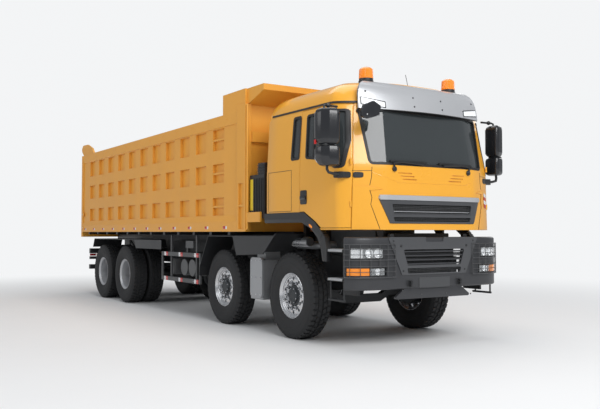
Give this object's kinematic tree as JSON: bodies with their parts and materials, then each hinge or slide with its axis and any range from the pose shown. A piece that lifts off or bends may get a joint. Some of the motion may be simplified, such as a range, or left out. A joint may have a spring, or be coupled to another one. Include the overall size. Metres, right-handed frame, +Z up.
{
  "type": "heavy 8x4 tipper truck",
  "caption": "Four-axle tipper truck with a tilting cab, opening doors, steered front axles, twin rear wheels and a ribbed load bed that tips on a telescopic hoist.",
  "frame": {"origin": "on the ground, on the centre line, in the middle of the overall length", "axes": "+X forward along the truck, +Y to its left, +Z up"},
  "size_m": [10.69, 3.06, 3.465],
  "materials": {
    "frame_grey": "satin",
    "engine_grey": "matt",
    "bumper_grey": "satin",
    "lamp_lens": "clear",
    "black_plastic": "satin",
    "guard_grey": "satin",
    "tank_grey": "satin",
    "silencer_steel": "satin",
    "cab_yellow": "gloss",
    "bed_yellow": "satin",
    "window_glass": "clear",
    "visor_silver": "satin",
    "beacon_amber": "gloss",
    "interior_grey": "matt",
    "hoist_black": "gloss",
    "hoist_chrome": "polished",
    "tyre": "matt",
    "rim_silver": "gloss"
  },
  "bodies": {
    "chassis": {"ladder_frame": "frame_grey", "tipper_subframe": "frame_grey", "engine_block": "engine_grey", "front_axle_beams": "frame_grey", "rear_axles": "frame_grey", "leaf_springs": "frame_grey", "front_bumper": "bumper_grey", "front_lamps": "lamp_lens", "cab_steps": "black_plastic", "mudguards": "black_plastic", "side_guards": "guard_grey", "tanks": "tank_grey", "silencer": "silencer_steel", "air_intake": "black_plastic", "rear_lamp_bar": "frame_grey"},
    "cab": {"cab_shell": "cab_yellow", "cab_glass": "window_glass", "cab_grille": "black_plastic", "sun_visor": "visor_silver", "beacons": "beacon_amber", "cab_interior": "interior_grey", "front_mirror": "black_plastic", "arch_trims": "black_plastic"},
    "door_right": {"door_right": "cab_yellow", "door_glass_right": "window_glass", "mirror_right": "black_plastic"},
    "door_left": {"door_left": "cab_yellow", "door_glass_left": "window_glass", "mirror_left": "black_plastic"},
    "bed": {"load_bed": "bed_yellow"},
    "tailgate": {"tailgate": "bed_yellow"},
    "hoist_barrel": {"hoist_barrel": "hoist_black"},
    "hoist_stage_1": {"hoist_stage_1": "hoist_chrome"},
    "hoist_stage_2": {"hoist_stage_2": "hoist_chrome"},
    "hoist_stage_3": {"hoist_stage_3": "hoist_chrome"},
    "hoist_stage_4": {"hoist_stage_4": "hoist_chrome"},
    "knuckle_1_right": {"knuckle_1_right": "frame_grey"},
    "wheel_1_right": {"tyre_1_right": "tyre", "rim_1_right": "rim_silver"},
    "knuckle_1_left": {"knuckle_1_left": "frame_grey"},
    "wheel_1_left": {"tyre_1_left": "tyre", "rim_1_left": "rim_silver"},
    "knuckle_2_right": {"knuckle_2_right": "frame_grey"},
    "wheel_2_right": {"tyre_2_right": "tyre", "rim_2_right": "rim_silver"},
    "knuckle_2_left": {"knuckle_2_left": "frame_grey"},
    "wheel_2_left": {"tyre_2_left": "tyre", "rim_2_left": "rim_silver"},
    "wheels_3_right": {"tyres_3_right": "tyre", "rims_3_right": "rim_silver"},
    "wheels_3_left": {"tyres_3_left": "tyre", "rims_3_left": "rim_silver"},
    "wheels_4_right": {"tyres_4_right": "tyre", "rims_4_right": "rim_silver"},
    "wheels_4_left": {"tyres_4_left": "tyre", "rims_4_left": "rim_silver"}
  },
  "joints": [
    {"name": "cab_tilt", "type": "hinge", "parent": "chassis", "child": "cab", "pos_m": [5.08, 0, 1.04], "axis": [0, 1, 0], "range_deg": [0, 50]},
    {"name": "door_right_swing", "type": "hinge", "parent": "cab", "child": "door_right", "pos_m": [5.097, -1.11922, 1.9], "axis": [0, 0, 1], "range_deg": [0, 70]},
    {"name": "door_left_swing", "type": "hinge", "parent": "cab", "child": "door_left", "pos_m": [5.097, 1.11922, 1.9], "axis": [0, 0, -1], "range_deg": [0, 70]},
    {"name": "bed_tilt", "type": "hinge", "parent": "chassis", "child": "bed", "pos_m": [-4.5, 0, 1.17], "axis": [0, -1, 0], "range_deg": [0, 45]},
    {"name": "tailgate_swing", "type": "hinge", "parent": "bed", "child": "tailgate", "pos_m": [-5.19, 0, 3.3], "axis": [0, 1, 0], "range_deg": [0, 60]},
    {"name": "hoist_swing", "type": "hinge", "parent": "bed", "child": "hoist_barrel", "pos_m": [3, 0, 2], "axis": [0, -1, 0], "range_deg": [-20.56, 0]},
    {"name": "hoist_slide_1", "type": "slide", "parent": "hoist_barrel", "child": "hoist_stage_1", "axis": [0, 0, -1], "range_m": [0, 1.4171]},
    {"name": "hoist_slide_2", "type": "slide", "parent": "hoist_stage_1", "child": "hoist_stage_2", "axis": [0, 0, -1], "range_m": [0, 1.4171]},
    {"name": "hoist_slide_3", "type": "slide", "parent": "hoist_stage_2", "child": "hoist_stage_3", "axis": [0, 0, -1], "range_m": [0, 1.4171]},
    {"name": "hoist_slide_4", "type": "slide", "parent": "hoist_stage_3", "child": "hoist_stage_4", "axis": [0, 0, -1], "range_m": [0, 1.4171]},
    {"name": "steer_1_right", "type": "hinge", "parent": "chassis", "child": "knuckle_1_right", "pos_m": [3.8, -0.77, 0.5625], "axis": [0, 0, 1], "range_deg": [-36, 36]},
    {"name": "wheel_1_right_spin", "type": "hinge", "parent": "knuckle_1_right", "child": "wheel_1_right", "pos_m": [3.8, -1.01, 0.5625], "axis": [0, 1, 0], "continuous": true},
    {"name": "steer_1_left", "type": "hinge", "parent": "chassis", "child": "knuckle_1_left", "pos_m": [3.8, 0.77, 0.5625], "axis": [0, 0, 1], "range_deg": [-36, 36]},
    {"name": "wheel_1_left_spin", "type": "hinge", "parent": "knuckle_1_left", "child": "wheel_1_left", "pos_m": [3.8, 1.01, 0.5625], "axis": [0, 1, 0], "continuous": true},
    {"name": "steer_2_right", "type": "hinge", "parent": "chassis", "child": "knuckle_2_right", "pos_m": [1.85, -0.77, 0.5625], "axis": [0, 0, 1], "range_deg": [-24.5, 24.5]},
    {"name": "wheel_2_right_spin", "type": "hinge", "parent": "knuckle_2_right", "child": "wheel_2_right", "pos_m": [1.85, -1.01, 0.5625], "axis": [0, 1, 0], "continuous": true},
    {"name": "steer_2_left", "type": "hinge", "parent": "chassis", "child": "knuckle_2_left", "pos_m": [1.85, 0.77, 0.5625], "axis": [0, 0, 1], "range_deg": [-24.5, 24.5]},
    {"name": "wheel_2_left_spin", "type": "hinge", "parent": "knuckle_2_left", "child": "wheel_2_left", "pos_m": [1.85, 1.01, 0.5625], "axis": [0, 1, 0], "continuous": true},
    {"name": "wheels_3_right_spin", "type": "hinge", "parent": "chassis", "child": "wheels_3_right", "pos_m": [-2.35, -0.92, 0.5625], "axis": [0, 1, 0], "continuous": true},
    {"name": "wheels_3_left_spin", "type": "hinge", "parent": "chassis", "child": "wheels_3_left", "pos_m": [-2.35, 0.92, 0.5625], "axis": [0, 1, 0], "continuous": true},
    {"name": "wheels_4_right_spin", "type": "hinge", "parent": "chassis", "child": "wheels_4_right", "pos_m": [-3.7, -0.92, 0.5625], "axis": [0, 1, 0], "continuous": true},
    {"name": "wheels_4_left_spin", "type": "hinge", "parent": "chassis", "child": "wheels_4_left", "pos_m": [-3.7, 0.92, 0.5625], "axis": [0, 1, 0], "continuous": true}
  ],
  "couplings": [
    {"joint": "hoist_swing", "follows": "bed_tilt", "ratio": -0.45572},
    {"joint": "hoist_slide_1", "follows": "bed_tilt", "m_per_rad": 1.803},
    {"joint": "hoist_slide_2", "follows": "bed_tilt", "m_per_rad": 1.803},
    {"joint": "hoist_slide_3", "follows": "bed_tilt", "m_per_rad": 1.803},
    {"joint": "hoist_slide_4", "follows": "bed_tilt", "m_per_rad": 1.803},
    {"joint": "steer_1_right", "follows": "steer_1_left", "ratio": 1},
    {"joint": "steer_2_right", "follows": "steer_1_left", "ratio": 0.68},
    {"joint": "steer_2_left", "follows": "steer_1_left", "ratio": 0.68}
  ]
}
